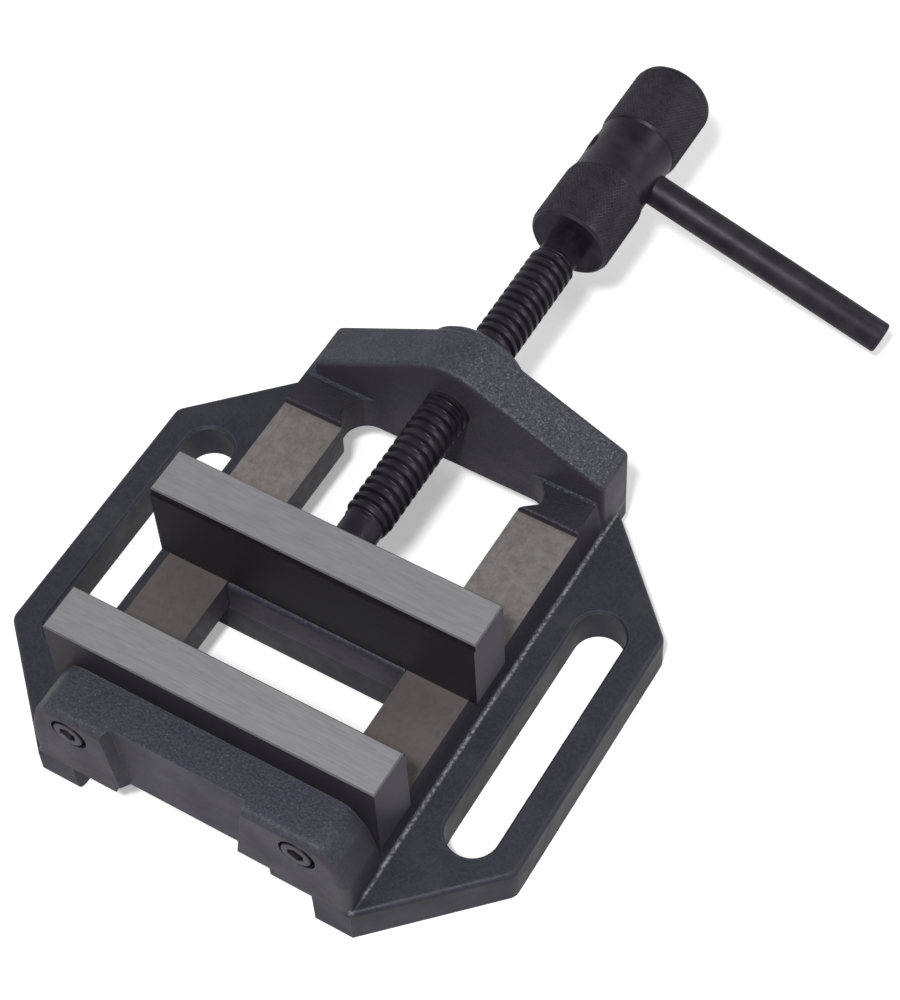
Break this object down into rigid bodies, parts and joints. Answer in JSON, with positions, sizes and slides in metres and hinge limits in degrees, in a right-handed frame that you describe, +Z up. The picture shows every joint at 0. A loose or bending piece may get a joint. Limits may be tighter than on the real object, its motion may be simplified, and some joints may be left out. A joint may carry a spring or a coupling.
{
  "type": "drill press vise",
  "caption": "Low cast-iron drill press vise with slotted side wings, two steel jaw plates, a bridge-mounted screw, and a knurled head with a cross bar.",
  "frame": {"origin": "midway between the centres of the two mounting slots, on the underside of the base", "axes": "+X across the jaws, +Y along the screw from the fixed jaw to the handle, +Z up"},
  "size_m": [0.168, 0.2675, 0.0567],
  "materials": {
    "painted_iron": "dark blue-grey hammered paint over cast iron, bare where the rails are machined",
    "ground_steel": "ground steel, brushed along the jaw",
    "black_steel": "black oxide steel, satin",
    "nylon": "natural nylon"
  },
  "bodies": {
    "bed": {"bed_casting": "painted_iron", "fixed_jaw_plate": "ground_steel", "fixed_jaw_screws": "black_steel"},
    "sliding_jaw": {"moving_jaw_casting": "painted_iron", "moving_jaw_plate": "ground_steel", "moving_jaw_screws": "black_steel", "keeper_plate": "painted_iron", "keeper_screws": "black_steel", "keeper_washers": "black_steel"},
    "spindle": {"lead_screw": "black_steel", "spindle_head": "black_steel", "head_pin": "black_steel", "bar_friction_pad": "nylon", "head_grub_screw": "black_steel"},
    "bar": {"tommy_bar": "black_steel"}
  },
  "joints": [
    {"name": "jaw_slide", "type": "slide", "parent": "bed", "child": "sliding_jaw", "axis": [0, 1, 0], "range_m": [-0.0334, 0.0331]},
    {"name": "screw_spin", "type": "hinge", "parent": "sliding_jaw", "child": "spindle", "pos_m": [0, 0.1, 0.0397], "axis": [0, 1, 0], "range_deg": [-4000, 3960]},
    {"name": "bar_slide", "type": "slide", "parent": "spindle", "child": "bar", "axis": [0.9537, 0, -0.3007], "range_m": [-0.077, 0]}
  ],
  "couplings": [
    {"joint": "jaw_slide", "follows": "screw_spin", "m_per_rad": 0.00047746}
  ]
}
